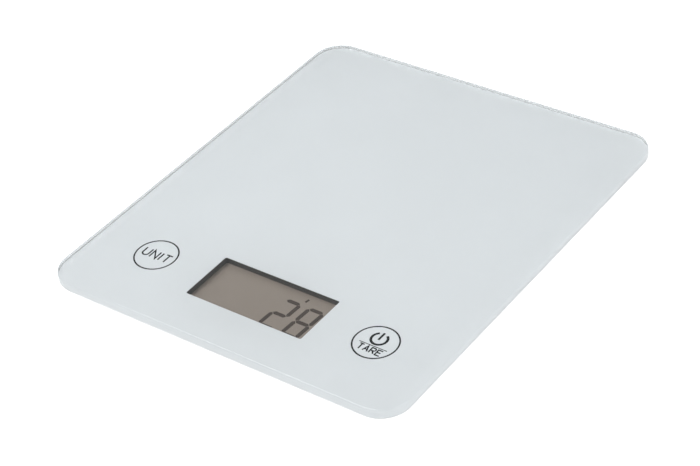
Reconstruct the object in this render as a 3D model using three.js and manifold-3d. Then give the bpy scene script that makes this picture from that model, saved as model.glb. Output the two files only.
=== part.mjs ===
// Kitchen scale: a tempered glass platform with a white back print, carried by a moulded tray that
// stands on four feet. Each foot bears on the tongue of its own load cell. The display and its board
// hang behind a window in the print, with a touch key on each side.
// Millimetres, +Z up. The origin is on the table, under the middle of the platform; the display is
// towards -Y.
import * as THREE from "three";
import { mergeVertices } from "three/addons/utils/BufferGeometryUtils.js";
import Module from "manifold-3d";

const wasm = await Module();
wasm.setup();

// ---- driving dimensions -------------------------------------------------------------------------
const PLATFORM_W = 200;
const PLATFORM_L = 230;
const PLATFORM_CORNER = 15;
const GLASS_T = 5;
const GLASS_ROUND = 1; // radius of the glass's upper edge
const GLASS_ARRIS = 0.5; // ground chamfer on its lower edge
const ROUND_STEPS = 5;

const PRINT_T = 0.25;
const TAPE_T = 0.75;

const BASE_INSET = 13;
const BASE_CORNER = 12;
const BASE_WALL = 1.75;
const BASE_FLOOR = 1.5;
const BASE_EDGE = 1.25;
const RIM_W = 5;
const RIM_T = 1.5;
const GROUND_CLEARANCE = 3;
const RIB_T = 1.5;
const RIB_H = 2.5;
const RIB_X = 42;
const RIB_ROOM = 4; // board to the first row of ribs

const WINDOW_W = 66.8;
const WINDOW_L = 30;
const WINDOW_CORNER = 1;
const DISPLAY_EDGE = 24.5; // front edge of the platform to the front edge of the window
const DISPLAY_DEPTH = 3.75; // underside of the glass to the face of the display
const WALL_OFFSET = 0.5; // how far the frame's opening stands back from the window
const FRAME_SIDE = 2.75;
const LCD_LEDGE = 2.8; // how far the display's glass runs under the frame
const LCD_GLASS_T = 0.75;
const FILM_T = 0.25;
const FILM_EDGE = 1; // film to the edge of the display's glass
const CONTACT_LEDGE = 4.5;
const ZEBRA_W = 3;
const ZEBRA_T = 1.5;
const ZEBRA_END = 2; // contact strip to the end of the display's glass
const FRAME_CORNER = 1.5;

const BOARD_T = 1;
const BOARD_ROOM = 0.5; // board to the load cell clamps on each side
const BOARD_FRONT = 0.5;
const BOARD_BACK = 4.5;
const CHIP_R = 2.6;
const CHIP_DOME = [[1, 0], [0.9, 0.2], [0.6, 0.35], [0, 0.42]]; // radius and height, as shares of CHIP_R
const CHIP_Y = 9; // middle of the display to the chip
const CAPACITOR = [3.2, 1.6, 1.25];
const CAPACITOR_YS = [8, 11.5];
const SCREW_R = 1;
const SCREW_HEAD_R = 2.2;
const SCREW_HEAD_T = 1.25;
const SCREW_EDGE = 4.5;

const KEY_X = 64;
const KEY_PAD_R = 9;
const KEY_PAD_T = 0.5;
const KEY_LEAD_W = 1.8;
const KEY_LEAD_REACH = 9; // along the lead, from its pad to the board

const FOOT_R = 9;
const FOOT_T = 2.75;
const FOOT_CHAMFER = 0.75;
const STEM_R = 3.5;
const PAD_R = 8;
const PAD_T = 1.25;
const PAD_CHAMFER = 0.4;
const CELL_SIDE = 28;
const CELL_T = 1.5;
const CELL_CORNER = 2;
const CELL_SLOT = 1.5;
const TONGUE_W = 12;
const TONGUE_L = 14;
const GAUGE = [5, 3, 0.25];
const SEAT_H = 1.75; // floor of the tray to the underside of a load cell
const CLAMP_RIM = 1; // clamp and seat beyond each side of a load cell
const CLAMP_T = 1.5;
const CLAMP_CORNER = 2;
const GAUGE_ROOM = 1; // strain gauge to the clamp round it
const STAKE_R = 1;
const STAKE_X = 9;
const STAKE_RISE = 0.25;
const EAR_R = 2.5; // clamp's ear round each stake

const COIN_R = 10;
const COIN_T = 3.2;
const COIN_EDGE = 0.3;
const COIN_BACK = 30; // back edge of the board to the middle of the coin cell
const DOOR_W = 26;
const DOOR_L = 30;
const DOOR_T = 1.25;
const DOOR_PIVOT_R = 0.9; // the door's hinge edge is round about its pivot
const PIVOT_PIN_R = 0.45;
const PIVOT_PIN_L = 1.1;
const CONTACT_T = 0.25;
const NEGATIVE_LEAF = [5, 14];
const POSITIVE_LEAF_W = 6;
const TAIL_W = 2; // each contact's tail, where its lead is soldered on
const NOTCH_R = 5;

const RIBBON_W = 3;
const RIBBON_T = 0.8;
const LEAD_R = 0.6;
const LEAD_ROOM = 1.7; // battery cup to the tray's rim, for the leads that cross over it

// ---- clearances ---------------------------------------------------------------------------------
const GAP = 0.3; // between neighbours that are not meant to touch
const FIT = 0.25; // round a part that drops into a recess
const FOOT_PLAY = 1; // round a foot, in its well
const OVER = 1; // how far a cutter runs past the face that it cuts

// ---- heights, from the table up -----------------------------------------------------------------
const Z_BASE = GROUND_CLEARANCE;
const Z_FLOOR = Z_BASE + BASE_FLOOR;
const Z_COIN = Z_BASE + DOOR_T + FIT;
const Z_COIN_TOP = Z_COIN + COIN_T;
const Z_POCKET = Z_COIN_TOP + GAP + CONTACT_T + GAP;
const Z_CUP = Z_POCKET + BASE_FLOOR / 2;
const Z_SHELF = Z_BASE + 2 * DOOR_PIVOT_R + GAP + BASE_FLOOR / 2; // floor over the door's recess
const Z_TAIL = Z_CUP + GAP + LEAD_R;
const Z_RIM = Z_CUP + LEAD_ROOM;
const Z_TAPE = Z_RIM + TAPE_T;
const Z_GLASS = Z_TAPE + PRINT_T;
const Z_TOP = Z_GLASS + GLASS_T;
const Z_LCD = Z_GLASS - DISPLAY_DEPTH;
const Z_LCD_FRONT = Z_LCD - FILM_T;
const Z_LCD_REAR = Z_LCD_FRONT - LCD_GLASS_T;
const Z_REFLECTOR = Z_LCD_REAR - LCD_GLASS_T;
const Z_BOARD = Z_LCD_REAR - ZEBRA_T;
const Z_CELL = Z_FLOOR + SEAT_H;
const Z_CELL_TOP = Z_CELL + CELL_T;
const Z_CLAMP_TOP = Z_CELL_TOP + CLAMP_T;

// ---- plan positions -----------------------------------------------------------------------------
const BASE_W = PLATFORM_W - 2 * BASE_INSET;
const BASE_L = PLATFORM_L - 2 * BASE_INSET;
const DISPLAY_Y = -PLATFORM_L / 2 + DISPLAY_EDGE + WINDOW_L / 2;
const OPENING_W = WINDOW_W + 2 * WALL_OFFSET;
const OPENING_L = WINDOW_L + 2 * WALL_OFFSET;
const LCD_W = OPENING_W + 2 * LCD_LEDGE - 2 * FIT;
const LCD_L = OPENING_L + 2 * LCD_LEDGE - 2 * FIT;
const FRAME_W = LCD_W + 2 * FIT + 2 * FRAME_SIDE;
const FRAME_L = LCD_L + 2 * FIT + 2 * FRAME_SIDE;
const BOARD_Y0 = DISPLAY_Y - FRAME_L / 2 - BOARD_FRONT;
const BOARD_Y1 = DISPLAY_Y + FRAME_L / 2 + BOARD_BACK;
const SCREW_YS = [BOARD_Y0 + SCREW_EDGE, BOARD_Y1 - SCREW_EDGE];
const CLAMP_SIDE = CELL_SIDE + 2 * CLAMP_RIM;
const CLAMP_BAND = CLAMP_SIDE / 2 - TONGUE_L / 2 - GAUGE[1] - GAUGE_ROOM;
const INNER_CORNER = BASE_CORNER - BASE_WALL;
// Tray wall to clamp, so that the clamp's round corner clears the tray's.
const CLAMP_ROOM = INNER_CORNER - CLAMP_CORNER - (INNER_CORNER - GAP - CLAMP_CORNER) / Math.SQRT2;
const FOOT_X = BASE_W / 2 - BASE_WALL - CLAMP_ROOM - CLAMP_SIDE / 2;
const FOOT_Y = BASE_L / 2 - BASE_WALL - CLAMP_ROOM - CLAMP_SIDE / 2;
const BOARD_W = 2 * (FOOT_X - CLAMP_SIDE / 2 - BOARD_ROOM);
const STRIP_X = (FRAME_W + BOARD_W) / 4; // middle of the bare board beside the frame
const COIN_Y = BOARD_Y1 + COIN_BACK;
const RIB_Y0 = BOARD_Y1 + RIB_ROOM;
const RIB_Y1 = FOOT_Y - CLAMP_SIDE;
const RIB_ROWS = [RIB_Y0, (RIB_Y0 + RIB_Y1) / 2, RIB_Y1];
const STAKE_Y = CLAMP_SIDE / 2 + 2 * STAKE_R + GAP;
const RECESS_W = DOOR_W + 2 * FIT;
const RECESS_L = DOOR_L + 2 * FIT;
const PIVOT_Y = COIN_Y + DOOR_L / 2 - DOOR_PIVOT_R;
const PIVOT_Z = Z_BASE + DOOR_PIVOT_R;
const POCKET_R = COIN_R + 2 * FIT;
const CUP_R = POCKET_R + BASE_WALL;

const CORNERS = [
  { name: "front_left", sx: -1, sy: -1 },
  { name: "front_right", sx: 1, sy: -1 },
  { name: "rear_left", sx: -1, sy: 1 },
  { name: "rear_right", sx: 1, sy: 1 },
];
const SIDES = [
  { name: "unit", sx: -1 },
  { name: "tare", sx: 1 },
];

// ---- finishes -----------------------------------------------------------------------------------
const finish = (color, roughness, metalness = 0) =>
  new THREE.MeshStandardMaterial({ color, roughness, metalness });
const GLASS = finish(0xe2eeee, 0.05);
const WHITE_PRINT = finish(0xdfe2e4, 0.35);
const WHITE_PLASTIC = finish(0xe9e9e6, 0.45);
const BLACK_PLASTIC = finish(0x24231f, 0.5);
const GREY_PLASTIC = finish(0x9a9a98, 0.5);
const RUBBER = finish(0x55565a, 0.85);
const FOAM = finish(0xd8d8d4, 0.9);
const LCD_FACE = finish(0x8f867e, 0.3);
const REFLECTOR = finish(0xa5a29a, 0.35, 0.6);
const BOARD_GREEN = finish(0x2f6b45, 0.45);
const CHIP_BLACK = finish(0x151515, 0.4);
const CERAMIC = finish(0xb49a78, 0.5);
const STEEL = finish(0xb9bcc0, 0.3, 1);
const COPPER = finish(0xc07a4c, 0.35, 1);
const FOIL = finish(0xc9a25f, 0.5);
const WIRE_RED = finish(0xb02a24, 0.5);
const WIRE_BLACK = finish(0x202020, 0.5);

// ---- solids -------------------------------------------------------------------------------------
function toSolid(geometry) {
  const bare = geometry.clone();
  bare.deleteAttribute("normal");
  bare.deleteAttribute("uv");
  const merged = mergeVertices(bare, 1e-4);
  const vertProperties = Float32Array.from(merged.attributes.position.array);
  const triVerts = Uint32Array.from(merged.index.array);
  return new wasm.Manifold(new wasm.Mesh({ numProp: 3, vertProperties, triVerts }));
}

function toGeometry(solid) {
  const mesh = solid.getMesh();
  const geometry = new THREE.BufferGeometry();
  geometry.setAttribute("position", new THREE.BufferAttribute(mesh.vertProperties, 3));
  geometry.setIndex(new THREE.BufferAttribute(mesh.triVerts, 1));
  geometry.computeVertexNormals();
  return geometry;
}

const cut = (body, tools) => tools.reduce((a, tool) => a.subtract(toSolid(tool)), body);
const join = (body, extras) => extras.reduce((a, extra) => a.add(toSolid(extra)), body);

function outline(w, l, r, steps = 6) {
  const shape = new THREE.Shape();
  const x = w / 2 - r;
  const y = l / 2 - r;
  const points = [];
  [[x, y, 0], [-x, y, 1], [-x, -y, 2], [x, -y, 3]].forEach(([cx, cy, quarter]) => {
    for (let i = 0; i <= steps; i++) {
      const a = (quarter + i / steps) * Math.PI / 2;
      points.push(new THREE.Vector2(cx + r * Math.cos(a), cy + r * Math.sin(a)));
    }
  });
  shape.setFromPoints(points);
  return shape;
}

// Sets the two ends of an upright shape to exact heights, so that faces that touch share them.
function between(geometry, z0, z1) {
  const position = geometry.attributes.position;
  geometry.computeBoundingBox();
  const middle = (geometry.boundingBox.min.z + geometry.boundingBox.max.z) / 2;
  for (let i = 0; i < position.count; i++) {
    position.setZ(i, position.getZ(i) < middle ? z0 : z1);
  }
  return geometry;
}

const slab = (shape, z0, z1) =>
  between(new THREE.ExtrudeGeometry(shape, { depth: z1 - z0, bevelEnabled: false }), z0, z1);

const block = (w, l, z0, z1, x = 0, y = 0) =>
  between(new THREE.BoxGeometry(w, l, z1 - z0).translate(x, y, 0), z0, z1);

const disc = (r, z0, z1, x = 0, y = 0, sides = 32) =>
  between(new THREE.CylinderGeometry(r, r, z1 - z0, sides).rotateX(Math.PI / 2).translate(x, y, 0), z0, z1);

// A plate whose outline shrinks by each level's inset, so that its edges carry chamfers.
function edgedPlate(w, l, r, levels) {
  const rings = levels.map(([z, inset]) =>
    outline(w - 2 * inset, l - 2 * inset, r - inset).getPoints().map((p) => [p.x, p.y, z]));
  const count = rings[0].length;
  const index = [];
  for (let k = 0; k + 1 < rings.length; k++) {
    for (let i = 0; i < count; i++) {
      const a = k * count + i;
      const b = k * count + (i + 1) % count;
      index.push(a, b, b + count, a, b + count, a + count);
    }
  }
  const top = (rings.length - 1) * count;
  for (let i = 1; i + 1 < count; i++) {
    index.push(0, i + 1, i, top, top + i, top + i + 1);
  }
  const geometry = new THREE.BufferGeometry();
  geometry.setAttribute("position", new THREE.Float32BufferAttribute(rings.flat(2), 3));
  geometry.setIndex(index);
  geometry.computeVertexNormals();
  return geometry;
}

function turned(profile, x, y, sides = 24) {
  const points = profile.map(([r, z]) => new THREE.Vector2(r, z));
  return new THREE.LatheGeometry(points, sides).rotateX(Math.PI / 2).translate(x, y, 0);
}

function swept(shape, points, steps) {
  const path = new THREE.CatmullRomCurve3(points.map((p) => new THREE.Vector3(...p)), false, "centripetal");
  return new THREE.ExtrudeGeometry(shape, { extrudePath: path, steps, bevelEnabled: false });
}

// A flat ribbon along a curve, lying level from side to side.
function ribbon(points, width, steps) {
  const path = new THREE.CatmullRomCurve3(points.map((p) => new THREE.Vector3(...p)), false, "centripetal");
  const up = new THREE.Vector3(0, 0, 1);
  const position = [];
  const index = [];
  for (let i = 0; i <= steps; i++) {
    const centre = path.getPointAt(i / steps);
    const along = path.getTangentAt(i / steps);
    const across = along.clone().cross(up).normalize();
    const normal = across.clone().cross(along);
    [[-1, -1], [1, -1], [1, 1], [-1, 1]].forEach(([u, v]) => {
      const corner = centre.clone().addScaledVector(across, u * width / 2);
      position.push(...corner.addScaledVector(normal, v * RIBBON_T / 2).toArray());
    });
  }
  for (let i = 0; i < steps; i++) {
    for (let k = 0; k < 4; k++) {
      const a = 4 * i + k;
      const b = 4 * i + (k + 1) % 4;
      index.push(a, b + 4, b, a, a + 4, b + 4);
    }
  }
  const last = 4 * steps;
  index.push(0, 1, 2, 0, 2, 3, last, last + 2, last + 1, last, last + 3, last + 2);
  const geometry = new THREE.BufferGeometry();
  geometry.setAttribute("position", new THREE.Float32BufferAttribute(position, 3));
  geometry.setIndex(index);
  geometry.computeVertexNormals();
  return geometry;
}

// ---- platform -----------------------------------------------------------------------------------
function glassPlatform() {
  const levels = [[Z_GLASS, GLASS_ARRIS], [Z_GLASS + GLASS_ARRIS, 0]];
  for (let i = 0; i < ROUND_STEPS; i++) {
    const a = (i / ROUND_STEPS) * Math.PI / 2;
    levels.push([Z_TOP - GLASS_ROUND * (1 - Math.sin(a)), GLASS_ROUND * (1 - Math.cos(a))]);
  }
  levels.push([Z_TOP, GLASS_ROUND]);
  return edgedPlate(PLATFORM_W, PLATFORM_L, PLATFORM_CORNER, levels);
}

function backPrint() {
  const sheet = outline(
    PLATFORM_W - 2 * GLASS_ARRIS, PLATFORM_L - 2 * GLASS_ARRIS, PLATFORM_CORNER - GLASS_ARRIS);
  const window = outline(WINDOW_W, WINDOW_L, WINDOW_CORNER, 3).getPoints();
  sheet.holes.push(new THREE.Path(window.map((p) => new THREE.Vector2(p.x, p.y + DISPLAY_Y)).reverse()));
  return slab(sheet, Z_TAPE, Z_GLASS);
}

function ringShape(w, l, r, band) {
  const ring = outline(w, l, r);
  const inner = outline(w - 2 * band, l - 2 * band, Math.max(r - band, 0.5)).getPoints();
  ring.holes.push(new THREE.Path(inner.reverse()));
  return ring;
}

const mountingTape = () => slab(
  ringShape(BASE_W - 2 * GAP, BASE_L - 2 * GAP, BASE_CORNER - GAP, RIM_W - 2 * GAP), Z_RIM, Z_TAPE);

// ---- tray ---------------------------------------------------------------------------------------
function trayBody() {
  const outside = edgedPlate(BASE_W, BASE_L, BASE_CORNER, [
    [Z_BASE, BASE_EDGE],
    [Z_BASE + BASE_EDGE, 0],
    [Z_RIM, 0],
  ]);
  const inner = outline(BASE_W - 2 * BASE_WALL, BASE_L - 2 * BASE_WALL, BASE_CORNER - BASE_WALL);
  const mouth = outline(BASE_W - 2 * RIM_W, BASE_L - 2 * RIM_W, BASE_CORNER - RIM_W);
  return cut(toSolid(outside), [
    slab(inner, Z_FLOOR, Z_RIM - RIM_T),
    slab(mouth, Z_FLOOR, Z_RIM + OVER),
  ]);
}

function ribs() {
  const insideW = BASE_W - BASE_WALL;
  const backY = BASE_L / 2 - BASE_WALL / 2;
  const bottom = Z_FLOOR - BASE_FLOOR / 2;
  const rows = RIB_ROWS.map((y) => block(insideW, RIB_T, bottom, Z_FLOOR + RIB_H, 0, y));
  const length = backY - RIB_ROWS[0];
  const columns = [-RIB_X, RIB_X].map((x) =>
    block(RIB_T, length, bottom, Z_FLOOR + RIB_H, x, RIB_ROWS[0] + length / 2));
  return [...rows, ...columns];
}

function cellSeat({ sx, sy }) {
  const seat = slab(
    ringShape(CLAMP_SIDE, CLAMP_SIDE, CLAMP_CORNER, CLAMP_BAND - GAUGE_ROOM), Z_FLOOR - OVER, Z_CELL);
  const stakes = [-STAKE_X, STAKE_X].map((x) =>
    disc(STAKE_R, Z_FLOOR - OVER, Z_CLAMP_TOP + STAKE_RISE, x, -sy * STAKE_Y, 16));
  return [seat, ...stakes].map((g) => g.translate(sx * FOOT_X, sy * FOOT_Y, 0));
}

function boardBosses() {
  return [-STRIP_X, STRIP_X].flatMap((x) => SCREW_YS.map((y) =>
    disc(SCREW_HEAD_R + GAP, Z_FLOOR - OVER, Z_BOARD - BOARD_T, x, y, 20)));
}

function batteryCup() {
  const shelf = block(
    RECESS_W + 2 * BASE_WALL, RECESS_L + 2 * BASE_WALL, Z_BASE + BASE_FLOOR / 2, Z_SHELF, 0, COIN_Y);
  return [shelf, disc(CUP_R, Z_FLOOR, Z_CUP, 0, COIN_Y, 40)];
}

function batteryCuts() {
  const lying = (r, length, sides) =>
    new THREE.CylinderGeometry(r, r, length, sides).rotateZ(Math.PI / 2).translate(0, PIVOT_Y, PIVOT_Z);
  const slotX = COIN_R + GAP + CONTACT_T / 2;
  return [
    block(RECESS_W, RECESS_L, Z_BASE - OVER, Z_FLOOR, 0, COIN_Y),
    disc(POCKET_R, Z_FLOOR - OVER, Z_POCKET, 0, COIN_Y, 40),
    disc(NOTCH_R, Z_BASE - OVER, Z_BASE + BASE_FLOOR / 2, 0, COIN_Y - RECESS_L / 2),
    lying(PIVOT_PIN_R + FIT, DOOR_W + 2 * PIVOT_PIN_L + 2 * GAP, 12),
    lying(DOOR_PIVOT_R + GAP, RECESS_W, 24),
    block(2 * GAP + CONTACT_T + OVER, POSITIVE_LEAF_W + 2 * GAP, Z_FLOOR, Z_CUP + OVER, slotX, COIN_Y),
    block(TAIL_W + 2 * GAP, 2 * GAP + CONTACT_T, Z_POCKET - OVER, Z_CUP + OVER, 0, COIN_Y),
  ];
}

function baseShell() {
  const added = [...ribs(), ...CORNERS.flatMap(cellSeat), ...boardBosses(), ...batteryCup()];
  const wells = CORNERS.map(({ sx, sy }) =>
    disc(FOOT_R + FOOT_PLAY, Z_BASE - OVER, Z_CELL, sx * FOOT_X, sy * FOOT_Y, 40));
  const screwHoles = [-STRIP_X, STRIP_X].flatMap((x) => SCREW_YS.map((y) =>
    disc(SCREW_R + FIT, Z_BASE + BASE_FLOOR / 2, Z_BOARD + OVER, x, y, 16)));
  return toGeometry(cut(join(trayBody(), added), [...wells, ...screwHoles, ...batteryCuts()]));
}

// ---- display and board --------------------------------------------------------------------------
const onDisplay = (geometry) => geometry.translate(0, DISPLAY_Y, 0);

function displayFrame() {
  const body = toSolid(slab(outline(FRAME_W, FRAME_L, FRAME_CORNER, 3), Z_BOARD, Z_TAPE - FIT));
  const pocket = block(LCD_W + 2 * FIT, LCD_L + 2 * FIT, Z_BOARD - OVER, Z_LCD);
  const opening = slab(outline(OPENING_W, OPENING_L, WINDOW_CORNER, 3), Z_LCD - OVER, Z_TAPE + OVER);
  return onDisplay(toGeometry(cut(body, [pocket, opening])));
}

const displayFilm = () => onDisplay(
  block(LCD_W - 2 * FILM_EDGE, LCD_L - 2 * FILM_EDGE, Z_LCD_FRONT, Z_LCD));
const displayFrontGlass = () => onDisplay(block(LCD_W, LCD_L, Z_LCD_REAR, Z_LCD_FRONT));
const displayRearGlass = () => onDisplay(
  block(LCD_W, LCD_L - CONTACT_LEDGE, Z_REFLECTOR, Z_LCD_REAR, 0, CONTACT_LEDGE / 2));
const displayReflector = () => onDisplay(block(
  LCD_W - 2 * FILM_EDGE, LCD_L - CONTACT_LEDGE - 2 * FILM_EDGE, Z_REFLECTOR - FILM_T, Z_REFLECTOR,
  0, CONTACT_LEDGE / 2));
const contactStrip = () => onDisplay(
  block(LCD_W - 2 * ZEBRA_END, ZEBRA_W, Z_BOARD, Z_LCD_REAR, 0, -LCD_L / 2 + CONTACT_LEDGE / 2));

function circuitBoard() {
  const middle = (BOARD_Y0 + BOARD_Y1) / 2;
  const board = toSolid(slab(outline(BOARD_W, BOARD_Y1 - BOARD_Y0, 1, 2), Z_BOARD - BOARD_T, Z_BOARD)
    .translate(0, middle, 0));
  const holes = [-STRIP_X, STRIP_X].flatMap((x) => SCREW_YS.map((y) =>
    disc(SCREW_R + FIT, Z_BOARD - BOARD_T - OVER, Z_BOARD + OVER, x, y, 16)));
  return toGeometry(cut(board, holes));
}

function boardScrew(x, y) {
  const tip = Z_BASE + BASE_FLOOR / 2 + FIT;
  return turned([
    [0, tip], [SCREW_R, tip + SCREW_R], [SCREW_R, Z_BOARD], [SCREW_HEAD_R, Z_BOARD],
    [SCREW_HEAD_R, Z_BOARD + SCREW_HEAD_T / 2], [SCREW_HEAD_R / 2, Z_BOARD + SCREW_HEAD_T],
    [0, Z_BOARD + SCREW_HEAD_T],
  ], x, y, 16);
}

const controllerChip = () => turned(
  [[0, Z_BOARD], ...CHIP_DOME.map(([r, z]) => [CHIP_R * r, Z_BOARD + CHIP_R * z])],
  STRIP_X, DISPLAY_Y + CHIP_Y);
const filterCapacitor = (y) =>
  block(CAPACITOR[0], CAPACITOR[1], Z_BOARD, Z_BOARD + CAPACITOR[2], -STRIP_X, y);

const keyPad = ({ sx }) => disc(KEY_PAD_R, Z_TAPE - KEY_PAD_T, Z_TAPE, sx * KEY_X, DISPLAY_Y);

function keyLead({ sx }) {
  const start = Z_TAPE - KEY_PAD_T - GAP - RIBBON_T / 2;
  const startX = KEY_X - KEY_PAD_R * 0.6;
  const endX = Math.min(BOARD_W / 2 - 2 * KEY_LEAD_W, startX - KEY_LEAD_REACH);
  return ribbon([
    [sx * startX, DISPLAY_Y, start],
    [sx * (endX + 5.5), DISPLAY_Y + 1, start],
    [sx * (endX + 2.5), DISPLAY_Y + 2.5, start - 1.2],
    [sx * endX, DISPLAY_Y + 4, Z_BOARD + GAP + RIBBON_T / 2],
  ], KEY_LEAD_W, 12);
}

// ---- load cells and feet ------------------------------------------------------------------------
const atFoot = (geometry, { sx, sy }) => geometry.translate(sx * FOOT_X, sy * FOOT_Y, 0);

// A spring plate with a U-shaped slot round its tongue, whose free end is towards the middle.
function loadCell(corner) {
  const { sy } = corner;
  const plate = toSolid(slab(outline(CELL_SIDE, CELL_SIDE, CELL_CORNER, 3), Z_CELL, Z_CELL_TOP));
  const outerW = TONGUE_W + 2 * CELL_SLOT;
  const slotL = TONGUE_L + CELL_SLOT;
  const slot = toSolid(block(outerW, slotL, Z_CELL - OVER, Z_CELL_TOP + OVER, 0, -sy * CELL_SLOT / 2));
  const tongue = block(TONGUE_W, slotL, Z_CELL - OVER, Z_CELL_TOP + OVER, 0, sy * CELL_SLOT / 2);
  return atFoot(toGeometry(plate.subtract(cut(slot, [tongue]))), corner);
}

function strainGauge(corner) {
  const y = corner.sy * (TONGUE_L / 2 + GAUGE[1] / 2);
  return atFoot(block(GAUGE[0], GAUGE[1], Z_CELL_TOP, Z_CELL_TOP + GAUGE[2], 0, y), corner);
}

function cellClamp(corner) {
  const ring = toSolid(slab(
    ringShape(CLAMP_SIDE, CLAMP_SIDE, CLAMP_CORNER, CLAMP_BAND), Z_CELL_TOP, Z_CLAMP_TOP));
  const earY = -corner.sy * STAKE_Y;
  const reach = STAKE_Y - CLAMP_SIDE / 2 + OVER;
  const ears = [-STAKE_X, STAKE_X].flatMap((x) => [
    disc(EAR_R, Z_CELL_TOP, Z_CLAMP_TOP, x, earY, 20),
    block(2 * EAR_R, reach, Z_CELL_TOP, Z_CLAMP_TOP, x, earY + corner.sy * reach / 2),
  ]);
  const holes = [-STAKE_X, STAKE_X].map((x) =>
    disc(STAKE_R + FIT, Z_CELL_TOP - OVER, Z_CLAMP_TOP + OVER, x, earY, 16));
  return atFoot(toGeometry(cut(join(ring, ears), holes)), corner);
}

function foot(corner) {
  const top = PAD_T + FOOT_T;
  return turned([
    [0, PAD_T], [FOOT_R, PAD_T], [FOOT_R, top - FOOT_CHAMFER], [FOOT_R - FOOT_CHAMFER, top], [STEM_R, top],
    [STEM_R, Z_CELL], [0, Z_CELL],
  ], corner.sx * FOOT_X, corner.sy * FOOT_Y, 32);
}

function footPad(corner) {
  return turned([
    [0, 0], [PAD_R - PAD_CHAMFER, 0], [PAD_R, PAD_CHAMFER], [PAD_R, PAD_T], [0, PAD_T],
  ], corner.sx * FOOT_X, corner.sy * FOOT_Y, 32);
}

function cellRibbon({ sx, sy }) {
  const high = Z_CLAMP_TOP + GAP + RIBBON_T;
  const low = Z_BOARD + GAP + RIBBON_T / 2;
  const start = Z_CELL_TOP + GAUGE[2] + GAP + RIBBON_T / 2;
  const innerX = FOOT_X - CLAMP_SIDE / 2;
  const gaugeY = FOOT_Y + TONGUE_L / 2 + GAUGE[1] / 2;
  const endX = FRAME_W / 2 + RIBBON_W / 2 + 1.5;
  const head = [
    [sx * (FOOT_X - 1), sy * gaugeY, start],
    [sx * (FOOT_X - 6), sy * gaugeY, high - 0.2],
    [sx * (FOOT_X - 12), sy * (gaugeY - 2), high],
  ];
  const tail = sy < 0
    ? [
      [sx * innerX, DISPLAY_Y - 9, high],
      [sx * (BOARD_W / 2 - 2), DISPLAY_Y - 7, high - 1.2],
      [sx * (BOARD_W / 2 - 4.5), DISPLAY_Y - 5, low],
    ]
    : [
      [sx * (innerX - 5), FOOT_Y - 6, high],
      [sx * (innerX - 5), (FOOT_Y + BOARD_Y1) / 2, high - 1],
      [sx * (innerX - 5), BOARD_Y1 + 12, high - 1],
      [sx * (endX + 1), BOARD_Y1 + 2, low + 1.2],
      [sx * endX, BOARD_Y1 - 1.7, low],
    ];
  return ribbon([...head, ...tail], RIBBON_W, sy < 0 ? 16 : 40);
}

// ---- battery ------------------------------------------------------------------------------------
function coinCell() {
  const step = 2 * COIN_EDGE;
  return turned([
    [0, Z_COIN], [COIN_R - COIN_EDGE, Z_COIN], [COIN_R, Z_COIN + COIN_EDGE], [COIN_R, Z_COIN_TOP - step],
    [COIN_R - step, Z_COIN_TOP - step], [COIN_R - step, Z_COIN_TOP], [0, Z_COIN_TOP],
  ], 0, COIN_Y, 40);
}

function negativeContact() {
  const z = Z_COIN_TOP + GAP;
  const leaf = toSolid(block(NEGATIVE_LEAF[0], NEGATIVE_LEAF[1], z, z + CONTACT_T, 0, COIN_Y));
  return toGeometry(join(leaf, [block(TAIL_W, CONTACT_T, z, Z_TAIL - GAP, 0, COIN_Y)]));
}

function positiveContact() {
  const x = COIN_R + GAP + CONTACT_T / 2;
  const leaf = toSolid(block(CONTACT_T, POSITIVE_LEAF_W, Z_COIN + GAP, Z_POCKET, x, COIN_Y));
  return toGeometry(join(leaf, [block(CONTACT_T, TAIL_W, Z_COIN + OVER, Z_TAIL - GAP, x, COIN_Y)]));
}

function batteryLead(x, endX) {
  const section = new THREE.Shape(new THREE.Path().absarc(0, 0, LEAD_R, 0, 2 * Math.PI).getPoints(3));
  return swept(section, [
    [x, COIN_Y - 0.5, Z_TAIL + LEAD_R],
    [x, COIN_Y - 5, Z_TAIL + LEAD_R],
    [(x + endX) / 2, (COIN_Y + BOARD_Y1) / 2, Z_TAIL],
    [endX, BOARD_Y1 + 4, Z_BOARD + 2.5],
    [endX, BOARD_Y1 - 2, Z_BOARD + GAP + LEAD_R],
  ], 24);
}

function batteryDoor() {
  const front = COIN_Y - DOOR_L / 2;
  const points = [new THREE.Vector2(front, Z_BASE)];
  const lift = Math.asin((DOOR_T - DOOR_PIVOT_R) / DOOR_PIVOT_R);
  for (let i = 0; i <= 6; i++) {
    const a = -Math.PI / 2 + (Math.PI / 2 + lift) * i / 6;
    points.push(new THREE.Vector2(PIVOT_Y + DOOR_PIVOT_R * Math.cos(a), PIVOT_Z + DOOR_PIVOT_R * Math.sin(a)));
  }
  points.push(new THREE.Vector2(front, Z_BASE + DOOR_T));
  const plate = new THREE.ExtrudeGeometry(new THREE.Shape(points), { depth: DOOR_W, bevelEnabled: false });
  plate.translate(0, 0, -DOOR_W / 2);
  plate.applyMatrix4(new THREE.Matrix4().set(0, 0, 1, 0, 1, 0, 0, 0, 0, 1, 0, 0, 0, 0, 0, 1));
  const pins = new THREE.CylinderGeometry(PIVOT_PIN_R, PIVOT_PIN_R, DOOR_W + 2 * PIVOT_PIN_L, 12);
  return toGeometry(join(toSolid(plate), [pins.rotateZ(Math.PI / 2).translate(0, PIVOT_Y, PIVOT_Z)]));
}

// ---- assembly -----------------------------------------------------------------------------------
const scale = new THREE.Group();

function place(name, geometry, material) {
  const mesh = new THREE.Mesh(geometry, material);
  mesh.name = name;
  scale.add(mesh);
}

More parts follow.
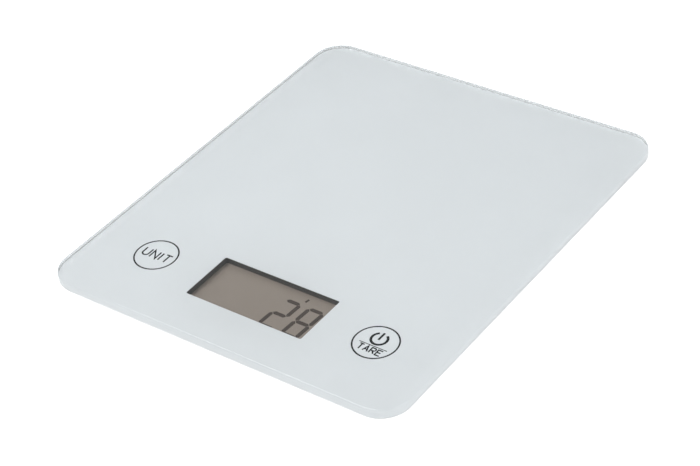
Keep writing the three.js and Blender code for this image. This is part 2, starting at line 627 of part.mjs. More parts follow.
place("glass_platform", glassPlatform(), GLASS);
place("white_back_print", backPrint(), WHITE_PRINT);
place("mounting_tape", mountingTape(), FOAM);
place("base_tray", baseShell(), WHITE_PLASTIC);
place("display_frame", displayFrame(), BLACK_PLASTIC);
place("display_polariser", displayFilm(), LCD_FACE);
place("display_front_glass", displayFrontGlass(), LCD_FACE);
place("display_rear_glass", displayRearGlass(), LCD_FACE);
place("display_reflector", displayReflector(), REFLECTOR);
place("display_contact_strip", contactStrip(), GREY_PLASTIC);
place("circuit_board", circuitBoard(), BOARD_GREEN);
place("controller_chip", controllerChip(), CHIP_BLACK);
CAPACITOR_YS.forEach((dy, i) => {
  place(`filter_capacitor_${i + 1}`, filterCapacitor(DISPLAY_Y + dy), CERAMIC);
});
[-STRIP_X, STRIP_X].forEach((x, i) => {
  SCREW_YS.forEach((y, k) => place(`board_screw_${2 * i + k + 1}`, boardScrew(x, y), STEEL));
});
SIDES.forEach((side) => {
  place(`${side.name}_touch_pad`, keyPad(side), COPPER);
  place(`${side.name}_touch_lead`, keyLead(side), FOIL);
});
CORNERS.forEach((corner) => {
  place(`${corner.name}_foot`, foot(corner), GREY_PLASTIC);
  place(`${corner.name}_foot_pad`, footPad(corner), RUBBER);
  place(`${corner.name}_load_cell`, loadCell(corner), STEEL);
  place(`${corner.name}_strain_gauge`, strainGauge(corner), FOIL);
  place(`${corner.name}_cell_clamp`, cellClamp(corner), WHITE_PLASTIC);
  place(`${corner.name}_cell_ribbon`, cellRibbon(corner), GREY_PLASTIC);
});
place("coin_cell", coinCell(), STEEL);
place("battery_negative_contact", negativeContact(), STEEL);
place("battery_positive_contact", positiveContact(), STEEL);
place("battery_negative_lead", batteryLead(0, -6), WIRE_BLACK);
place("battery_positive_lead", batteryLead(COIN_R + GAP + CONTACT_T / 2, 6), WIRE_RED);
place("battery_door", batteryDoor(), WHITE_PLASTIC);

export default scale;
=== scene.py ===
"""Kitchen scale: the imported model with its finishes, printed legends and display figures."""
import math

import bpy
from mathutils import Matrix, Vector


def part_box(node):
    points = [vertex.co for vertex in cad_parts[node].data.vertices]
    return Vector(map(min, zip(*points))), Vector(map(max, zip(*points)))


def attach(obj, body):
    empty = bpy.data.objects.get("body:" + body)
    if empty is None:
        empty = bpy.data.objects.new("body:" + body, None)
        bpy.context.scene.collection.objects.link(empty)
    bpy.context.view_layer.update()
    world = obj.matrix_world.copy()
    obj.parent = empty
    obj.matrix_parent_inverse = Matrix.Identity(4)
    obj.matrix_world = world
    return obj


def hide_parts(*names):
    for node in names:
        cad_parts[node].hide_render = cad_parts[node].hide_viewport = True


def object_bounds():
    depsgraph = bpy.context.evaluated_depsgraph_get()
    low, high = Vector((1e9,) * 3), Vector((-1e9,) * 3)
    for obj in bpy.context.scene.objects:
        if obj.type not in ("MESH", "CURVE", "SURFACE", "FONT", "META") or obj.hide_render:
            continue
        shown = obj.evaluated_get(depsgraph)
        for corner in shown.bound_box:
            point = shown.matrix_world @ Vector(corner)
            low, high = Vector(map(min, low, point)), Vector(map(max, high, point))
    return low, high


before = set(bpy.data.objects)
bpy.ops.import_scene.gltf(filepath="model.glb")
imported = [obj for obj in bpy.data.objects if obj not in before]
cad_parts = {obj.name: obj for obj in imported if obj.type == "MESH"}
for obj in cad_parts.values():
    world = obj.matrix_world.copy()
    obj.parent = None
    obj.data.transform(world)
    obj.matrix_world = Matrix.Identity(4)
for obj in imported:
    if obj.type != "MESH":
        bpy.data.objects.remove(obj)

CAD_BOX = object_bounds()
MM = 0.001
BODY = "scale_body"
CORNERS = ("front_left", "front_right", "rear_left", "rear_right")

# ---- camera -------------------------------------------------------------------------------------
VIEW_AZIMUTH = 40.24  # degrees, round from the scale's front
VIEW_ELEVATION = 37.30
VIEW_ROLL = -7.05
VIEW_DISTANCE = 0.942  # metres
VIEW_LENS, VIEW_SENSOR = 102.8, 36  # mm
AIM_X, AIM_Y = 0.00945, -0.01943  # the point looked at, on the face of the glass


def add_camera():
    """Looks down on the weighing face from the right of its front edge, slightly rolled."""
    top = CAD_BOX[1][2]
    turn, tilt, roll = (math.radians(a) for a in (VIEW_AZIMUTH, VIEW_ELEVATION, VIEW_ROLL))
    back = Vector((math.sin(turn) * math.cos(tilt), -math.cos(turn) * math.cos(tilt), math.sin(tilt)))
    level = Vector((math.cos(turn), math.sin(turn), 0))
    right = level * math.cos(roll) + back.cross(level) * math.sin(roll)
    up = back.cross(right)
    data = bpy.data.cameras.new("camera")
    data.lens = VIEW_LENS
    data.sensor_width = VIEW_SENSOR
    camera = bpy.data.objects.new("camera", data)
    bpy.context.collection.objects.link(camera)
    place = Vector((AIM_X, AIM_Y, top)) + back * VIEW_DISTANCE
    camera.matrix_world = Matrix.Translation(place) @ Matrix((right, up, back)).transposed().to_4x4()
    bpy.context.scene.camera = camera


add_camera()


# ---- shader building ----------------------------------------------------------------------------
class Value:
    """A number coming out of a shader node, which can be added, scaled and so on."""

    def __init__(self, finish, socket):
        self.finish = finish
        self.socket = socket

    def math(self, operation, a, b):
        return self.finish.node("ShaderNodeMath", {"operation": operation}, {0: a, 1: b})

    def __add__(self, other):
        return self.math("ADD", self, other)

    def __radd__(self, other):
        return self.math("ADD", other, self)

    def __mul__(self, other):
        return self.math("MULTIPLY", self, other)

    def __rmul__(self, other):
        return self.math("MULTIPLY", other, self)


class Finish:
    """One material, built node by node. Values that don't vary are set on the shader's sockets."""

    def __init__(self, name, **shader):
        self.material = bpy.data.materials.new(name)
        self.material.use_nodes = True
        self.nodes = self.material.node_tree.nodes
        self.links = self.material.node_tree.links
        self.shader = self.nodes["Principled BSDF"]
        self.output = self.nodes["Material Output"]
        self.set(self.shader, {key.replace("_", " "): value for key, value in shader.items()})

    def set(self, node, values):
        for key, value in values.items():
            if isinstance(value, Value):
                self.links.new(value.socket, node.inputs[key])
            else:
                node.inputs[key].default_value = value

    def node(self, kind, settings=None, values=None, out=0):
        made = self.nodes.new(kind)
        for key, value in (settings or {}).items():
            setattr(made, key, value)
        self.set(made, values or {})
        return Value(self, made.outputs[out])

    def place(self, centre=(0, 0, 0), stretch=(1, 1, 1)):
        at = self.node("ShaderNodeTexCoord", out="Object")
        shift = tuple(-c * s for c, s in zip(centre, stretch))
        return self.node("ShaderNodeMapping", None, {"Vector": at, "Location": shift, "Scale": stretch})

    def noise(self, scale, detail=2.0, stretch=(1, 1, 1), seed=0.0):
        values = {"Vector": self.place(stretch=stretch), "Scale": scale, "Detail": detail, "W": seed}
        return self.node("ShaderNodeTexNoise", {"noise_dimensions": "4D"}, values)

    def blend(self, low, high, factor):
        settings = {"data_type": "RGBA"}
        return self.node("ShaderNodeMix", settings, {0: factor, 6: rgba(low), 7: rgba(high)}, out=2)

    def bump(self, height, distance, strength=1.0):
        values = {"Height": height, "Distance": distance, "Strength": strength}
        self.set(self.shader, {"Normal": self.node("ShaderNodeBump", None, values)})

    def surface(self, **values):
        self.set(self.shader, {key.replace("_", " "): value for key, value in values.items()})


def rgba(colour):
    return colour if isinstance(colour, Value) else (*colour, 1)


def tinted(colour, by):
    """A lighter or darker tone of the same colour."""
    return tuple(min(c * by, 1) for c in colour)


# ---- finishes -----------------------------------------------------------------------------------
def moulded_plastic(name, colour, roughness, grain=0.00004):
    """Moulded plastic with a fine spark texture and faint flow marks."""
    finish = Finish(name)
    flow = finish.noise(25, 3, (1, 0.3, 1))
    spark = finish.noise(5200, 2)
    finish.surface(
        Base_Color=finish.blend(tinted(colour, 0.95), tinted(colour, 1.04), flow),
        Roughness=roughness - 0.05 + 0.1 * spark + 0.04 * flow)
    finish.bump(spark, grain, 0.5)
    return finish.material


def rubber_pad(name, centre):
    """Grey rubber with moulded grip rings about the pad's own middle."""
    finish = Finish(name, Specular_IOR_Level=0.3)
    dust = finish.noise(900, 4)
    wave = finish.node(
        "ShaderNodeTexWave", {"wave_type": "RINGS", "rings_direction": "Z", "wave_profile": "SIN"},
        {"Vector": finish.place(centre), "Scale": 160, "Distortion": 0.0})
    finish.surface(
        Base_Color=finish.blend((0.085, 0.087, 0.094), (0.14, 0.142, 0.15), dust),
        Roughness=0.72 + 0.2 * dust)
    finish.bump(wave, 0.0002, 0.8)
    return finish.material


def platform_glass(name):
    """Clear float glass. Lamps shine through it on to the print that is bonded to its underside."""
    finish = Finish(name, Transmission_Weight=1.0, IOR=1.52, Base_Color=(0.965, 0.985, 0.98, 1))
    smears = finish.noise(18, 4, seed=3.0)
    finish.surface(Roughness=0.006 + 0.014 * smears)
    waves = finish.noise(22, 1, seed=1.0)
    finish.bump(waves, 0.00004, 0.25)
    clear = finish.node("ShaderNodeBsdfTransparent", None, {"Color": (0.93, 0.95, 0.95, 1)})
    lamp = finish.node("ShaderNodeLightPath", out="Is Shadow Ray")
    seen = Value(finish, finish.shader.outputs[0])
    mixed = finish.node("ShaderNodeMixShader", None, {0: lamp, 1: seen, 2: clear})
    finish.links.new(mixed.socket, finish.output.inputs["Surface"])
    return finish.material


def ground_seam(name):
    """The matt seam left by the stone on a cut edge of glass."""
    finish = Finish(name, Specular_IOR_Level=0.3)
    grit = finish.noise(3000, 3)
    finish.surface(
        Base_Color=finish.blend((0.60, 0.61, 0.61), (0.72, 0.73, 0.73), grit),
        Roughness=0.6 + 0.2 * grit)
    finish.bump(grit, 0.00002, 0.5)
    return finish.material


def white_print(name):
    """Even white enamel with the faint mottle of a screen print."""
    finish = Finish(name, Roughness=0.55, Specular_IOR_Level=0.2)
    mottle = finish.noise(45, 3)
    screen = finish.noise(3800, 1)
    finish.surface(
        Base_Color=finish.blend((0.785, 0.802, 0.82), (0.815, 0.832, 0.85), mottle),
        Roughness=0.5 + 0.1 * screen)
    finish.bump(screen, 0.00001, 0.3)
    return finish.material


def legend_ink(name, colour):
    """Printed ink, a little uneven in its cover."""
    finish = Finish(name, Specular_IOR_Level=0.2)
    cover = finish.noise(2600, 3)
    finish.surface(
        Base_Color=finish.blend(tinted(colour, 0.8), tinted(colour, 1.3), cover),
        Roughness=0.5 + 0.15 * cover)
    return finish.material


def display_film(name, colour):
    """The display's polariser: satin, with a faint cloud in its tone."""
    finish = Finish(name, Coat_Weight=0.25, Coat_Roughness=0.08)
    cloud = finish.noise(60, 3)
    grain = finish.noise(6000, 1)
    finish.surface(
        Base_Color=finish.blend(tinted(colour, 0.95), tinted(colour, 1.05), cloud),
        Roughness=0.32 + 0.1 * grain)
    finish.bump(grain, 0.00001, 0.3)
    return finish.material


def steel(name, colour, roughness, along=(1, 1, 1)):
    """Drawn or plated steel with fine lines along the piece."""
    finish = Finish(name, Metallic=1.0)
    lines = finish.noise(900, 3, along)
    stain = finish.noise(70, 3)
    finish.surface(
        Base_Color=finish.blend(tinted(colour, 0.85), tinted(colour, 1.1), stain),
        Roughness=roughness - 0.06 + 0.16 * lines)
    finish.bump(lines, 0.00002, 0.4)
    return finish.material


def board_mask(name):
    """Green solder mask over copper tracks."""
    finish = Finish(name, Coat_Weight=0.4, Coat_Roughness=0.15)
    tracks = finish.node(
        "ShaderNodeTexBrick", {"offset": 0.37, "squash": 1.6},
        {"Vector": finish.place(), "Scale": 90, "Mortar Size": 0.03, "Mortar Smooth": 0.2}, out="Fac")
    weave = finish.noise(1800, 2)
    green = finish.blend((0.025, 0.12, 0.05), (0.04, 0.16, 0.07), weave)
    finish.surface(
        Base_Color=finish.blend(green, (0.07, 0.26, 0.10), tracks),
        Roughness=0.34 + 0.12 * weave)
    finish.bump(tracks, 0.00004, 0.5)
    return finish.material


def closed_foam(name):
    """White foam tape with open pore pits on its cut edges, each pit darkened towards its middle with
    painted shade.
    """
    finish = Finish(name, Specular_IOR_Level=0.2)
    pore_pits_and_painted_shade = finish.node(
        "ShaderNodeTexVoronoi", None, {"Vector": finish.place(), "Scale": 2200})
    # The base colour is darker towards each pit's middle: painted shade in the hollows. The same mask also
    # sinks the pits by bump and roughens them.
    finish.surface(
        Base_Color=finish.blend((0.5, 0.5, 0.48), (0.74, 0.74, 0.71), pore_pits_and_painted_shade),
        Roughness=0.8 + 0.1 * pore_pits_and_painted_shade)
    finish.bump(pore_pits_and_painted_shade, 0.0001, 0.6)
    return finish.material


def striped_rubber(name):
    """Alternate conducting and insulating layers of the display's contact strip."""
    finish = Finish(name, Specular_IOR_Level=0.3)
    layers = finish.node(
        "ShaderNodeTexWave", {"wave_type": "BANDS", "bands_direction": "X"},
        {"Vector": finish.place(), "Scale": 500, "Distortion": 0.0})
    finish.surface(
        Base_Color=finish.blend((0.03, 0.03, 0.03), (0.55, 0.5, 0.45), layers),
        Roughness=0.6 + 0.1 * layers)
    return finish.material


def insulation(name, colour):
    """Extruded wire jacket."""
    finish = Finish(name, Specular_IOR_Level=0.4)
    scuff = finish.noise(700, 3)
    finish.surface(
        Base_Color=finish.blend(tinted(colour, 0.85), tinted(colour, 1.15), scuff),
        Roughness=0.38 + 0.15 * scuff)
    return finish.material


def etched_foil(name):
    """Copper foil with the fine meander of a gauge or sensing pad."""
    finish = Finish(name, Metallic=0.9)
    grid = finish.node(
        "ShaderNodeTexWave", {"wave_type": "BANDS", "bands_direction": "X", "wave_profile": "TRI"},
        {"Vector": finish.place(), "Scale": 700, "Distortion": 0.0})
    finish.surface(
        Base_Color=finish.blend((0.50, 0.19, 0.07), (0.72, 0.36, 0.17), grid),
        Roughness=0.3 + 0.15 * grid)
    return finish.material


WHITE_ABS = (0.80, 0.80, 0.78)
BLACK_ABS = (0.046, 0.041, 0.037)
GREY_ABS = (0.30, 0.30, 0.295)
SPRING_STEEL = (0.56, 0.57, 0.58)
NICKEL = (0.66, 0.64, 0.60)
FOIL_SILVER = (0.7, 0.7, 0.68)
CELL_GLASS = (0.30, 0.31, 0.30)
POLARISER = (0.28, 0.225, 0.19)
RIBBON_GREY = (0.36, 0.36, 0.37)
CERAMIC = (0.45, 0.32, 0.19)
CHIP_RESIN = (0.014, 0.014, 0.014)
BLACK_WIRE = (0.015, 0.015, 0.015)
RED_WIRE = (0.43, 0.02, 0.015)
LEGEND_INK = (0.01, 0.01, 0.012)
FIGURE_TONE = (0.05, 0.033, 0.027)


def dress(node, material):
    """Gives a whole CAD node one material."""
    slots = bpy.data.objects[node].material_slots
    if not slots:
        bpy.data.objects[node].data.materials.append(material)
    for slot in slots:
        slot.material = material


def dress_nodes():
    white = moulded_plastic("moulded_white_abs", WHITE_ABS, 0.42)
    black = moulded_plastic("moulded_black_abs", BLACK_ABS, 0.5)
    grey = moulded_plastic("moulded_grey_abs", GREY_ABS, 0.45)
    spring = steel("spring_steel", SPRING_STEEL, 0.3, (0.15, 4, 1))
    plated = steel("nickel_plate", NICKEL, 0.22)
    foil = etched_foil("etched_copper_foil")
    cell_glass = display_film("display_cell_glass", CELL_GLASS)
    jacket = insulation("grey_ribbon_jacket", RIBBON_GREY)
    ceramic = insulation("fired_ceramic", CERAMIC)
    dress("base_tray", white)
    dress("battery_door", moulded_plastic("moulded_white_door", WHITE_ABS, 0.38))
    dress("mounting_tape", closed_foam("closed_foam_tape"))
    dress("display_frame", black)
    for piece in ("display_front_glass", "display_rear_glass"):
        dress(piece, cell_glass)
    dress("display_reflector", steel("display_reflector_foil", FOIL_SILVER, 0.35))
    dress("display_contact_strip", striped_rubber("layered_contact_rubber"))
    dress("circuit_board", board_mask("board_solder_mask"))
    dress("controller_chip", insulation("chip_resin", CHIP_RESIN))
    for number in (1, 2):
        dress(f"filter_capacitor_{number}", ceramic)
    for number in (1, 2, 3, 4):
        dress(f"board_screw_{number}", plated)
    for key in ("unit", "tare"):
        dress(f"{key}_touch_pad", foil)
        dress(f"{key}_touch_lead", foil)
    for corner in CORNERS:
        low, high = (Vector(p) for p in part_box(f"{corner}_foot_pad"))
        dress(f"{corner}_foot", grey)
        dress(f"{corner}_foot_pad", rubber_pad(f"{corner}_pad_rubber", (low + high) / 2))
        dress(f"{corner}_load_cell", spring)
        dress(f"{corner}_strain_gauge", foil)
        dress(f"{corner}_cell_clamp", white)
        dress(f"{corner}_cell_ribbon", jacket)
    for piece in ("coin_cell", "battery_negative_contact", "battery_positive_contact"):
        dress(piece, plated)
    dress("battery_negative_lead", insulation("black_wire_jacket", BLACK_WIRE))
    dress("battery_positive_lead", insulation("red_wire_jacket", RED_WIRE))


# ---- mesh helpers -------------------------------------------------------------------------------
def new_piece(name, faces, points, material):
    """A mesh that belongs to the scale's body."""
    mesh = bpy.data.meshes.new(name)
    mesh.from_pydata(points, [], faces)
    mesh.update()
    piece = bpy.data.objects.new(name, mesh)
    bpy.context.collection.objects.link(piece)
    mesh.materials.append(material)
    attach(piece, BODY)
    return piece


MITRE_LIMIT = 0.35  # how sharp a bend may be before its mitre stops growing


class Sheet:
    """Thin flat shapes gathered into one closed mesh, from z0 up to z1."""

    def __init__(self, z0, z1):
        self.z = (z0, z1)
        self.points = []
        self.faces = []

    def ribbon(self, left, right, closed=False):
        """A strip between two edges of equal count, given counter-clockwise: right, then left."""
        first, count = len(self.points), len(left)
        for z in self.z:
            self.points += [(*p, z) for p in right] + [(*p, z) for p in left]

        def at(k, i, layer):
            return first + layer * 2 * count + k * count + i % count

        for i in range(count if closed else count - 1):
            j = i + 1
            self.faces.append((at(0, i, 1), at(0, j, 1), at(1, j, 1), at(1, i, 1)))
            self.faces.append((at(0, i, 0), at(1, i, 0), at(1, j, 0), at(0, j, 0)))
            self.faces.append((at(0, i, 0), at(0, j, 0), at(0, j, 1), at(0, i, 1)))
            self.faces.append((at(1, j, 0), at(1, i, 0), at(1, i, 1), at(1, j, 1)))
        if not closed:
            last = count - 1
            self.faces.append((at(0, 0, 0), at(0, 0, 1), at(1, 0, 1), at(1, 0, 0)))
            self.faces.append((at(0, last, 0), at(1, last, 0), at(1, last, 1), at(0, last, 1)))

    def stroke(self, line, width, closed=False):
        """A pen stroke of even width along a line, mitred at its corners."""
        left, right = [], []
        count = len(line)
        for i, point in enumerate(line):
            here = Vector(point)
            before = Vector(line[i - 1]) if i or closed else here
            after = Vector(line[(i + 1) % count]) if i + 1 < count or closed else here
            a = (here - before).normalized() if (here - before).length else (after - here).normalized()
            b = (after - here).normalized() if (after - here).length else a
            along = (a + b).normalized()
            reach = width / 2 / max(along.dot(a), MITRE_LIMIT)
            normal = Vector((-along.y, along.x)) * reach
            left.append(tuple(here + normal))
            right.append(tuple(here - normal))
        self.ribbon(left, right, closed)

    def polygon(self, outline):
        """A convex shape, given counter-clockwise."""
        first, count = len(self.points), len(outline)
        for z in self.z:
            self.points += [(*p, z) for p in outline]
        self.faces.append(tuple(first + count + i for i in range(count)))
        self.faces.append(tuple(first + i for i in reversed(range(count))))
        for i in range(count):
            j = (i + 1) % count
            self.faces.append((first + i, first + j, first + count + j, first + count + i))

    def piece(self, name, material, slot):
        return new_piece(name, self.faces, self.points, material)


def arc(cx, cy, radius, start, stop, steps):
    """Points round a centre, from one angle in degrees to another."""
    turns = [math.radians(start + (stop - start) * i / steps) for i in range(steps + 1)]
    return [(cx + radius * math.cos(t), cy + radius * math.sin(t)) for t in turns]


def rounded(cx, cy, w, l, r, steps):
    """The outline of a rectangle with rounded corners, counter-clockwise."""
    points = []
    for k, (sx, sy) in enumerate(((1, 1), (-1, 1), (-1, -1), (1, -1))):
        points += arc(cx + sx * (w / 2 - r), cy + sy * (l / 2 - r), r, 90 * k, 90 * k + 90, steps)
    return points


# ---- back print ---------------------------------------------------------------------------------
GLASS_LOW, GLASS_HIGH = (Vector(p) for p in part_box("glass_platform"))
PRINT_LOW, PRINT_HIGH = (Vector(p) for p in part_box("white_back_print"))
FILM_LOW, FILM_HIGH = (Vector(p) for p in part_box("display_polariser"))
KEY_LOW, KEY_HIGH = (Vector(p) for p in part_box("tare_touch_pad"))
KEY_X = (KEY_LOW.x + KEY_HIGH.x) / 2
KEY_Y = (KEY_LOW.y + KEY_HIGH.y) / 2
BOND = 0.02 * MM  # the print bites this far into the glass, so that no air lies between them
WINDOW_W, WINDOW_L, WINDOW_R = 66.8 * MM, 30 * MM, 1 * MM
GLASS_R, GLASS_ROUND, GLASS_ARRIS = 15 * MM, 1 * MM, 0.5 * MM
GLASS_CORNER_STEPS, GLASS_ROUND_STEPS, PRINT_CORNER_STEPS = 24, 14, 12
PRINT_R = GLASS_R - GLASS_ARRIS


def glass_plate(material, seam):
    """The platform's glass: upper edge rounded in fine steps, lower edge ground to a matt seam."""
    w, l = GLASS_HIGH.x - GLASS_LOW.x, GLASS_HIGH.y - GLASS_LOW.y
    rounding = [math.pi / 2 * i / GLASS_ROUND_STEPS for i in range(GLASS_ROUND_STEPS + 1)]
    levels = [(GLASS_LOW.z, GLASS_ARRIS), (GLASS_LOW.z + GLASS_ARRIS, 0)]
    levels += [
        (GLASS_HIGH.z - GLASS_ROUND * (1 - math.sin(a)), GLASS_ROUND * (1 - math.cos(a))) for a in rounding]
    rings = [
        rounded(0, 0, w - 2 * inset, l - 2 * inset, GLASS_R - inset, GLASS_CORNER_STEPS)
        for _, inset in levels]
    points = [(*p, z) for (z, _), ring in zip(levels, rings) for p in ring]
    count, top = len(rings[0]), len(points) - len(rings[0])
    faces = [tuple(reversed(range(count))), tuple(range(top, top + count))]
    for k in range(len(levels) - 1):
        for i in range(count):
            a, b = k * count + i, k * count + (i + 1) % count
            faces.append((a, b, b + count, a + count))
    piece = new_piece("glass_platform_rounded", faces, points, material)
    piece.data.materials.append(seam)
    for face in piece.data.polygons[2:2 + count]:
        face.material_index = 1
    for face in piece.data.polygons[2 + count:]:
        face.use_smooth = True
    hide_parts("glass_platform")


def back_print(material):
    """The white print, with the display's window left open in it."""
    w, l = PRINT_HIGH.x - PRINT_LOW.x, PRINT_HIGH.y - PRINT_LOW.y
    sheet = Sheet(PRINT_LOW.z, PRINT_HIGH.z + BOND)
    outer = rounded(0, 0, w, l, PRINT_R, PRINT_CORNER_STEPS)
    inner = rounded(0, KEY_Y, WINDOW_W, WINDOW_L, WINDOW_R, PRINT_CORNER_STEPS)
    sheet.ribbon(inner, outer, closed=True)
    piece = sheet.piece("back_print_enamel", material, "white_print")
    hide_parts("white_back_print")


# ---- legends ------------------------------------------------------------------------------------
INK_LOW = PRINT_HIGH.z + BOND / 2
INK_HIGH = PRINT_HIGH.z + 1.5 * BOND
RING_R, RING_PEN = 10.75 * MM, 0.8 * MM
UNIT_W, UNIT_H, UNIT_PEN = 15.6 * MM, 5.2 * MM, 0.85 * MM
TARE_W, TARE_H, TARE_PEN = 12.4 * MM, 3.5 * MM, 0.75 * MM
WORD_SHIFT = 0.3 * MM  # words and divider stand this far right of their ring's middle
TARE_DROP = 5.3 * MM  # drops and rises are from the ring's middle
POWER_R, POWER_PEN, POWER_SHIFT, POWER_RISE = 3.85 * MM, 1.25 * MM, 0.1 * MM, 2.6 * MM
POWER_START, POWER_STOP = 122, 418  # degrees
POWER_BAR_LOW, POWER_BAR_HIGH, POWER_BAR_PEN = 1.9 * MM, 7.0 * MM, 1.1 * MM
DIVIDER_HALF, DIVIDER_DROP, DIVIDER_PEN = 7.5 * MM, 2.6 * MM, 0.45 * MM
LETTER_SHARE, I_SHARE, LETTER_ROOM = 0.72, 0.12, 0.3  # widths and the gaps between, before scaling


def letter(shape, w):
    """Strokes of a capital, w wide and 1 high, with its foot on 0."""
    bowl = arc(w - 0.25, 0.75, 0.25, 90, -90, 8)
    return {
        "U": [[(0, 1), *arc(w / 2, w / 2, w / 2, 180, 360, 12), (w, 1)]],
        "N": [[(0, 0), (0, 1), (w, 0), (w, 1)]],
        "I": [[(w / 2, 0), (w / 2, 1)]],
        "T": [[(0, 1), (w, 1)], [(w / 2, 1), (w / 2, 0)]],
        "A": [[(0, 0), (w / 2, 1), (w, 0)], [(w * 0.2, 0.36), (w * 0.8, 0.36)]],
        "R": [[(0, 0), (0, 1), *bowl, (0, 0.5)], [(w * 0.5, 0.5), (w, 0)]],
        "E": [[(w, 1), (0, 1), (0, 0), (w, 0)], [(0, 0.52), (w * 0.85, 0.52)]],
    }[shape]


def write(sheet, word, cx, cy, width, height, pen):
    """A word in plain capitals, centred at cx, cy."""
    widths = [I_SHARE if c == "I" else LETTER_SHARE for c in word]
    total = sum(widths) + LETTER_ROOM * (len(word) - 1)
    x = cx - width / 2
    for c, w in zip(word, widths):
        for line in letter(c, w):
            sheet.stroke([(x + u * width / total, cy + (v - 0.5) * height) for u, v in line], pen)
        x += (w + LETTER_ROOM) * width / total


def legends(material):
    """Two key rings: UNIT in the left one, the power symbol over a divider and TARE in the right one."""
    sheet = Sheet(INK_LOW, INK_HIGH)
    for x in (-KEY_X, KEY_X):
        sheet.stroke(arc(x, KEY_Y, RING_R, 0, 360, 96)[:-1], RING_PEN, closed=True)
    write(sheet, "UNIT", -KEY_X + WORD_SHIFT, KEY_Y, UNIT_W, UNIT_H, UNIT_PEN)
    write(sheet, "TARE", KEY_X + WORD_SHIFT, KEY_Y - TARE_DROP, TARE_W, TARE_H, TARE_PEN)
    power = arc(KEY_X + POWER_SHIFT, KEY_Y + POWER_RISE, POWER_R, POWER_START, POWER_STOP, 48)
    sheet.stroke(power, POWER_PEN)
    sheet.stroke([(KEY_X, KEY_Y + POWER_BAR_LOW), (KEY_X, KEY_Y + POWER_BAR_HIGH)], POWER_BAR_PEN)
    left, right = (KEY_X + side * DIVIDER_HALF + WORD_SHIFT for side in (-1, 1))
    sheet.stroke([(left, KEY_Y - DIVIDER_DROP), (right, KEY_Y - DIVIDER_DROP)], DIVIDER_PEN)
    sheet.piece("key_legends", material, "black_plastic")


# ---- display figures ----------------------------------------------------------------------------
SEGMENTS = {2: "abged", 8: "abcdefg"}
DIGIT_W, BAR_W, DIGIT_SLANT = 7.8 * MM, 2.1 * MM, 0.06
BAR_YS = (-87.7 * MM, -78.1 * MM, -68.2 * MM)
DIGIT_XS = {2: 11.4 * MM, 8: 24.5 * MM}
SEGMENT_GAP = 0.16 * MM
MARK_ENDS, MARK_W = ((16.7 * MM, -65.4 * MM), (17.2 * MM, -63.1 * MM)), 1.1 * MM
FIGURE_SINK, FIGURE_RISE = 0.01 * MM, 0.03 * MM  # how far the figures reach into the film and over it


def segment(sheet, start, end, width):
    """One bar of a figure, with its two ends cut to points."""
    a, b = Vector(start), Vector(end)
    along = (b - a).normalized()
    a, b = a + along * SEGMENT_GAP, b - along * SEGMENT_GAP
    side = Vector((-along.y, along.x)) * width / 2
    tip = along * width / 2
    sheet.polygon([tuple(p) for p in (a, a + tip - side, b - tip - side, b, b - tip + side, a + tip + side)])


def figure(sheet, number, cx):
    """A seven-bar figure about cx, leaning a little to the right."""
    low, middle, high = BAR_YS

    def at(side, y):
        return (cx + side * DIGIT_W / 2 + (y - middle) * DIGIT_SLANT, y)

    ends = {
        "a": (at(-1, high), at(1, high)), "g": (at(-1, middle), at(1, middle)),
        "d": (at(-1, low), at(1, low)), "b": (at(1, high), at(1, middle)),
        "c": (at(1, middle), at(1, low)), "f": (at(-1, high), at(-1, middle)),
        "e": (at(-1, middle), at(-1, low)),
    }
    for key in SEGMENTS[number]:
        segment(sheet, *ends[key], BAR_W)


def display_figures(material):
    """The reading and the small mark above it."""
    sheet = Sheet(FILM_HIGH.z - FIGURE_SINK, FILM_HIGH.z + FIGURE_RISE)
    for number, cx in DIGIT_XS.items():
        figure(sheet, number, cx)
    sheet.stroke(MARK_ENDS, MARK_W)
    sheet.piece("display_figures", material, "display_glass")


# ---- door grip ----------------------------------------------------------------------------------
DOOR_LOW, DOOR_HIGH = (Vector(p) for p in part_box("battery_door"))
RIDGES, RIDGE_PITCH, RIDGE_L, RIDGE_R = 5, 1.6 * MM, 14 * MM, 0.4 * MM
RIDGE_SINK = 0.15 * MM  # from the door's face up to the middle of a ridge
RIDGES_IN = 5.5 * MM  # from the door's free edge to the middle ridge


